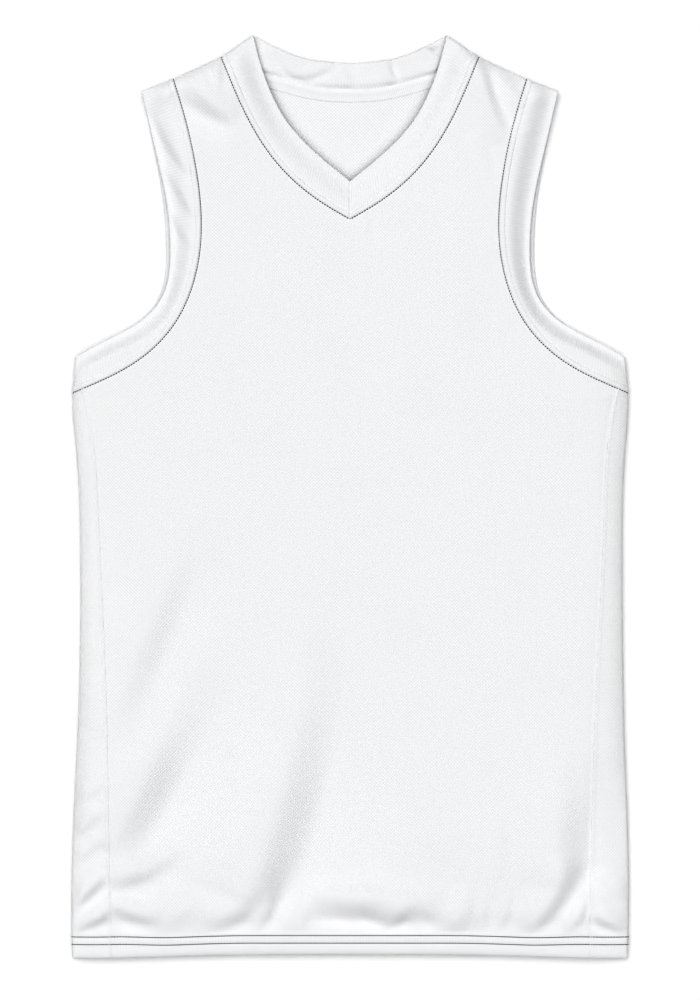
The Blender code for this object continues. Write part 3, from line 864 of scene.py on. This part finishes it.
def folded_double(points, outward):
    """A closed band skin carried on round the fold at its free edge, by a half circle, and back
    inside to its seam, where the two layers are pressed together."""
    out = unit(points[:, -1:] - points[:, -2:-1])
    last, normal = points[:, -1:], outward[:, -1:]
    turn = np.linspace(np.pi / 2, -np.pi / 2, 9)[None, 1:, None]
    edge = last + BAND_RADIUS * np.cos(turn) * out - BAND_RADIUS * (1 - np.sin(turn)) * normal
    inside = np.arange(points.shape[1])[:-1][::-3]
    depth = 2 * BAND_RADIUS * np.interp(ACROSS[inside], (0.0, 0.2), (0.56, 1.0))[None, :, None]
    return np.concatenate([points, edge, points[:, inside] - depth * outward[:, inside]], axis=1)


RIB_WHITE = (0.870, 0.870, 0.874)


def rib_knit(name, pitch=0.0026, depth=0.00009):
    """Band knit: upright wales across the band, as a cosine, over a faint mesh, the product of two cosines.
    The colour is painted darker in the grooves between the wales and in the dark of the mesh: painted shade."""
    finish = Finish(name, Specular_IOR_Level=0.3)
    _, u, v = finish.cloth_uv()
    wale = u.wave(pitch)
    check = u.wave(pitch) * v.wave(pitch * 0.85)
    groove = (0.5 - 0.5 * wale).math("POWER", 1.6)
    # Painted shade: the colour is mixed towards the grey in the grooves and in the dark of the mesh.
    tone = finish.mix(groove * 0.09 + (0.5 - 0.5 * check) * 0.14, RIB_WHITE, PAINTED_SHADE)
    finish.feed(finish.shader.inputs["Base Color"], tone)
    height = 0.5 * wale + 0.2 * check
    bump = finish.node("ShaderNodeBump", None, {"Strength": 1.0, "Distance": depth, "Height": height})
    finish.feed(finish.shader.inputs["Normal"], bump)
    finish.feed(finish.shader.inputs["Roughness"], 0.54 + 0.1 * groove)
    return finish.material


band_knit = rib_knit("band_knit")


def band_cloth(name, halves):
    """A whole band from the parts of its ring, each a skin and its relief, in order. The first
    part lies on the front, so its outside faces up."""
    skin = np.concatenate([part[0] for part in halves])
    relief = np.concatenate([part[1] for part in halves])
    outward = outward_of(skin, closed=True)
    flip = np.sign(outward[: len(halves[0][0]), 5, 2].mean())
    outward = outward * flip
    skin = skin + relief[..., None] * outward
    outward = outward_of(skin, closed=True) * flip
    whole = folded_double(skin, outward)
    middle = skin[:, skin.shape[1] // 2]
    loop = np.vstack([middle, middle[:1]])
    along = lengths(loop)
    steps_across = np.linalg.norm(np.diff(whole, axis=1), axis=2)
    across = np.concatenate([np.zeros((len(whole), 1)), np.cumsum(steps_across, axis=1)], axis=1)
    uv = np.stack([np.broadcast_to(along[:-1, None], across.shape), across], axis=-1)
    if flip > 0:
        whole, uv = whole[:, ::-1], uv[:, ::-1]
    return grid_cloth(name, whole, uv, BAND_WALL, band_knit, closed_by=along[-1]), skin, outward


def armband_ring(side):
    """The front half of an armhole band from shoulder to underarm, and the back half on again."""
    parts = []
    for back in (False, True):
        seam = arm_stations(moved(arm_line(ARM_SEAM, back), EDGE_GAP), chest=96, underarm=62)
        edge = arm_stations(arm_line(ARM_EDGE, back), chest=96, underarm=62)
        parts.append((seam, edge))
    front = band_front(*parts[0], fold_gap, side)
    behind = band_behind(*parts[1], fold_gap, side)
    return [front, tuple(part[-2:0:-1] for part in behind)]


armbands = {}
for word, side in (("right", 1.0), ("left", -1.0)):
    armband, skin, outward = band_cloth("armband_cloth_" + word, armband_ring(side))
    armbands[word] = (skin[:, 0], outward[:, 0])
    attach(armband, "root")
    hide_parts("armband_" + word)

# ----------------------------------------------------------------------
# Neckband. A strip of knit folded double runs round the neck. At the point of the V its two
# ends are mitred and sewn with a short upright seam. Behind, it lies on the surface in ripples.

NECK_EDGE_LIFT = 0.0012
NECK_EDGE = (
    HIGH_POINT, (0.0776, 0.3756), (0.0690, 0.3515),
    (0.0564, 0.3275), (0.0377, 0.3054), (0.0, 0.2733),
)
BACK_NECK_EDGE = (HIGH_POINT, (0.0707, 0.3924), (0.0468, 0.3817), (0.0250, 0.3766), (0.0, 0.3757))
NECK_RIPPLES = (
    (-13, 374, -45, 364, -63, 385, 6, 6, 4, 2.6, 0.5),
    (-9, 372, -1, 364, 2, 354, 9, 8, 7, 1.3, 0.5),
    (35, 380, 35, 369, 41, 358, 5, 6, 6, 2.4, 0.5),
    (60, 389, 76, 380, 70, 361, 5, 5, 5, 2.4, 0.5),
)


def neck_ripples(x, y):
    """The band behind stands a little off the surface, with grooves in it. It comes down to the
    surface at its seam, at the shoulders and at its free edge, by smooth steps."""
    above_seam = y - np.interp(np.abs(x), BACK_NECK_LINE[::-1, 0], BACK_NECK_LINE[::-1, 1])
    height = 0.0010 * smooth((0.375 - y + 0.45 * np.abs(x)) / 0.010) + creases(x, y, NECK_RIPPLES)
    off_ends = smooth((shoulder_gap(x, y) - 0.003) / 0.006) * smooth(above_seam / 0.0050)
    return np.maximum(height, 0) * off_ends


def neckband_ring():
    """The right front from the V up, the back from right to left, and the left front back to the
    V, where its columns lie closer together for the groove of the seam."""
    front_lines = (moved(spline(NECK_SEAM), -EDGE_GAP), spline(NECK_EDGE))
    back_lines = (moved(spline(BACK_NECK_SEAM), -EDGE_GAP), spline(BACK_NECK_EDGE))
    seam, edge = (neck_stations(line, ((0.008, 96), (0.002, 5), (0.0, 4))) for line in front_lines)
    back_seam, back_edge = (neck_stations(line, ((0.0, 60),)) for line in back_lines)
    parts = {}
    for side in (1.0, -1.0):
        front, relief = band_front(seam, edge, shoulder_gap, side, NECK_EDGE_LIFT)
        from_centre = np.abs(front[..., 0])
        groove = 0.00015 * bell((from_centre - 0.002) / 0.0012) - 0.00045 * bell(from_centre / 0.0007)
        behind = band_behind(back_seam, back_edge, shoulder_gap, side, neck_ripples)
        parts[side] = ((front, relief + groove), behind)
    order = (
        (parts[1.0][0], slice(None, None, -1)),
        (parts[1.0][1], slice(1, None)),
        (parts[-1.0][1], slice(-2, 0, -1)),
        (parts[-1.0][0], slice(None, -1)),
    )
    return [tuple(grid[picked] for grid in part) for part, picked in order]


neckband, neck_skin, neck_outward = band_cloth("neckband_cloth", neckband_ring())
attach(neckband, "root")
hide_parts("neckband")

# ----------------------------------------------------------------------
# Neck tape. A narrow white tape covers the back neck seam on the inside of the back panel. It
# is stitched down along both of its edges.

TAPE_WIDTH = 0.0110
TAPE_WALL = 0.00022
TAPE_COLUMNS = 16
TAPE_UNDER_BAND = 0.0004


def tape_grid():
    """Points of the tape: along the back neck seam, and across it from the seam downwards. It
    lies on the back panel, stands up softly under the seam allowance and is flat at its edge."""
    start = from_shoulder(moved(BACK_NECK_LINE, 0.00005), SHOULDER_SEAM_BACK + 0.005)
    columns_across = []
    for share in np.linspace(0, 1, TAPE_COLUMNS):
        line = moved(BACK_NECK_LINE, share * TAPE_WIDTH - TAPE_UNDER_BAND)
        column = at(line, np.linspace(start, lengths(line)[-1], 70))
        column[-1, 0] = 0.0
        columns_across.append(column)
    right = np.stack(columns_across, axis=1)
    plan = np.vstack([right, right[-2::-1] * (-1, 1)])
    across = np.linspace(0, TAPE_WIDTH, TAPE_COLUMNS)[None, :]
    relief = 0.0004 * bell((across - 0.0035) / 0.0022) - 0.00008 * bell((across - 0.0092) / 0.0006)
    relief = relief - 0.00014 * smooth((across - 0.0102) / 0.0008)
    z = KNIT_WALL + 0.00003 + TAPE_WALL + relief + back_creases(plan[..., 0], plan[..., 1])
    return np.dstack([plan, z])


tape_points = tape_grid()
tape_along = lengths(tape_points[:, TAPE_COLUMNS // 2])[:, None]
tape_across = np.linspace(0, TAPE_WIDTH, TAPE_COLUMNS)[None, :]
tape_uv = np.stack([tape_along + 0 * tape_across, tape_across + 0 * tape_along], axis=-1)
tape_knit = rib_knit("tape_knit", pitch=0.0016, depth=0.00006)
tape = grid_cloth("neck_tape_cloth", tape_points, tape_uv, TAPE_WALL, tape_knit)
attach(tape, "root")
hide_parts("neck_tape")

# ----------------------------------------------------------------------
# Black topstitching on the front neck seam and the armhole seams: polyester thread, one stitch
# after another, each of which dips into the cloth at both of its ends.

STITCH = 0.0025
THREAD = 0.00056
BLACK = (0.012, 0.012, 0.014, 1.0)


def stitches(name, paths, material, pitch=STITCH, thick=THREAD, dash=0.84):
    """Thread along paths. A stitch is a six-sided spindle: five rings along it, of the radius
    of an ellipse, on a centre line that sinks with the square of the distance from its middle."""
    s = np.array([-1.0, -0.62, 0.0, 0.62, 1.0])
    turn = np.arange(6) * np.pi / 3
    solid = []
    for path, outward in paths:
        along = lengths(path)
        count = max(1, int(round(along[-1] / pitch)))
        spots = (np.arange(count)[:, None] + 0.5 + 0.5 * dash * s[None]) * along[-1] / count
        centre = np.stack([np.interp(spots, along, path[:, k]) for k in range(3)], axis=-1)
        normal = unit(np.stack([np.interp(spots, along, outward[:, k]) for k in range(3)], axis=-1))
        tangent = unit(np.gradient(centre, axis=1))
        across = unit(np.cross(tangent, normal))
        centre = centre + normal * (thick * (0.42 - 0.75 * s**2))[None, :, None]
        radius = (thick / 2 * np.sqrt(1 - 0.8 * s**2))[None, :, None, None]
        ring = np.cos(turn)[:, None] * across[:, :, None] + np.sin(turn)[:, None] * normal[:, :, None]
        solid.append(centre[:, :, None] + radius * ring)
    solid = np.concatenate(solid)
    solid[..., 2] = np.maximum(solid[..., 2], 0.0)
    base = np.arange(len(solid))[:, None, None] * 30
    ring_at, k = np.meshgrid(np.arange(4), np.arange(6), indexing="ij")
    a, b = ring_at * 6 + k, ring_at * 6 + (k + 1) % 6
    quads = np.stack([a, a + 6, b + 6, b], axis=-1).reshape(1, -1, 4) + base
    caps = np.stack([np.arange(6), np.arange(29, 23, -1)])[None] + base
    mesh = bpy.data.meshes.new(name)
    faces = quads.reshape(-1, 4).tolist() + caps.reshape(-1, 6).tolist()
    mesh.from_pydata(settled(solid).reshape(-1, 3), [], faces)
    mesh.shade_smooth()
    mesh.materials.append(material)
    piece = bpy.data.objects.new(name, mesh)
    bpy.context.scene.collection.objects.link(piece)
    return piece


def thread_finish(name, colour):
    """Spun thread: a fine twist seen in its relief, with a lighter colour painted along the twist as painted
    highlight.
    """
    finish = Finish(name, Roughness=0.55, Sheen_Weight=0.1)
    place = finish.node("ShaderNodeTexCoord", None, None, 3)
    x, y = (finish.node("ShaderNodeSeparateXYZ", None, {0: place}, k) for k in (0, 1))
    twist = (x + y).wave(0.0004)
    # Painted highlight: a lighter copy of the thread's colour, painted along the twist.
    light = tuple(min(1.0, c * 1.8 + 0.01) for c in colour[:3])
    finish.feed(finish.shader.inputs["Base Color"], finish.mix(0.3 + 0.3 * twist, colour[:3], light))
    bump = finish.node("ShaderNodeBump", None, {"Strength": 0.6, "Distance": 0.00005, "Height": twist})
    finish.feed(finish.shader.inputs["Normal"], bump)
    return finish.material


black_thread = thread_finish("black_thread", BLACK)


def looped(line):
    """A closed line, with its first point again at its end."""
    return np.vstack([line, line[:1]])


seam_paths = [tuple(looped(part) for part in armbands[word]) for word in ("right", "left")]
LEAST_UP = -0.3
in_front = neck_outward[:, 0, 2] > LEAST_UP
first_behind, last_behind = np.flatnonzero(~in_front)[[0, -1]]
front_rows = np.r_[last_behind + 1 : len(in_front), 0:first_behind]
seam_paths.append((neck_skin[front_rows, 0], neck_outward[front_rows, 0]))
seam_stitching = stitches("seam_stitching", seam_paths, black_thread)
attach(seam_stitching, "root")

# The back neck seam is sewn with a finer grey thread. It lies outside, and the tape hides it.
behind_path = (neck_skin[first_behind : last_behind + 1, 0], neck_outward[first_behind : last_behind + 1, 0])
grey_thread = thread_finish("grey_thread", (0.20, 0.20, 0.21, 1.0))
back_neck_stitching = stitches("back_neck_stitching", [behind_path], grey_thread, thick=0.0004)
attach(back_neck_stitching, "root")

# ----------------------------------------------------------------------
# Hem stitching. Two rows of black cover stitch, 6.5 mm apart, hold the turned hem all round.


def hem_path(row):
    """A row of the hem as a loop: across the front, round both folded sides and along the back."""
    width = float(half_width(hem_line(SIDE_HEM[0]) + row))
    across = np.concatenate([np.linspace(0, width - FOLD_RADIUS - 0.001, 150), width - bend_gaps()[::-1]])
    y = hem_line(across) + hem_rise(across) + row
    quarter = np.arccos(np.clip(1 - (width - across) / FOLD_RADIUS, 0, 1))
    lean = np.where(width - across < FOLD_RADIUS, np.cos(quarter), 0.0)
    up = np.sqrt(1 - lean**2)
    loops, normals = [], []
    for side in (1.0, -1.0):
        relief = hem_relief(side * across, y) * np.clip((width - across) / HEM_RELIEF_FROM, 0, 1)
        z = front_height(side * across, y) + relief
        front = np.stack([side * across, y, z], axis=1)
        behind = np.stack([side * across, y, back_height(side * across, y) - 0.0001], axis=1)
        facing = [np.stack([side * lean, 0 * y, way * up], axis=1) for way in (1, -1)]
        loops.append(np.vstack([front, behind[-2::-1]]))
        normals.append(np.vstack([facing[0], facing[1][-2::-1]]))
    return np.vstack([loops[0], loops[1][-2::-1]]), np.vstack([normals[0], normals[1][-2::-1]])


HEM_THREAD = 0.00066
hem_paths = [hem_path(row) for row in HEM_ROWS_AT]
hem_stitching = stitches("hem_stitching", hem_paths, black_thread, thick=HEM_THREAD)
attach(hem_stitching, "root")

# ----------------------------------------------------------------------
# The surface, the light and the camera, which looks straight down.

SURFACE_REACH = 4.0
SURFACE_Z = -0.0003
corners = [(x * SURFACE_REACH, y * SURFACE_REACH, SURFACE_Z) for x, y in ((-1, -1), (1, -1), (1, 1), (-1, 1))]
floor_mesh = bpy.data.meshes.new("surface")
floor_mesh.from_pydata(corners, [], [(0, 1, 2, 3)])
floor = bpy.data.objects.new("surface", floor_mesh)
bpy.context.scene.collection.objects.link(floor)
pale = Finish("pale_surface", Base_Color=(0.93, 0.93, 0.93, 1.0), Roughness=1.0, Specular_IOR_Level=0.0)
floor_mesh.materials.append(pale.material)

world = bpy.data.worlds.new("studio")
bpy.context.scene.world = world
world.use_nodes = True
sky = world.node_tree.nodes["Background"]
sky.inputs["Color"].default_value = (1.0, 1.0, 1.0, 1.0)
sky.inputs["Strength"].default_value = 0.12


def soft_light(name, tilt, heading, spread, strength):
    """Even soft light: its tilt from overhead and its heading on the surface, in degrees."""
    lamp = bpy.data.lights.new(name, "SUN")
    lamp.angle = np.radians(spread)
    lamp.energy = strength
    light = bpy.data.objects.new(name, lamp)
    light.location = (0.0, 0.0, 2.0)
    light.rotation_euler = (np.radians(tilt), 0.0, np.radians(heading))
    bpy.context.scene.collection.objects.link(light)


soft_light("overhead", 0.0, 0.0, 130.0, 2.82)
soft_light("key", -50.0, 36.0, 60.0, 0.50)

CAMERA_HEIGHT = 2.4
PICTURE_HEIGHT = 0.8664
camera_data = bpy.data.cameras.new("camera")
camera_data.lens = camera_data.sensor_width / 2 * CAMERA_HEIGHT / (PICTURE_HEIGHT / 2)
camera = bpy.data.objects.new("camera", camera_data)
camera.location = (0.0, -0.003, CAMERA_HEIGHT + 0.003)
bpy.context.scene.collection.objects.link(camera)
bpy.context.scene.camera = camera
bpy.context.scene.view_settings.view_transform = "Standard"
bpy.context.scene.view_settings.gamma = 0.42
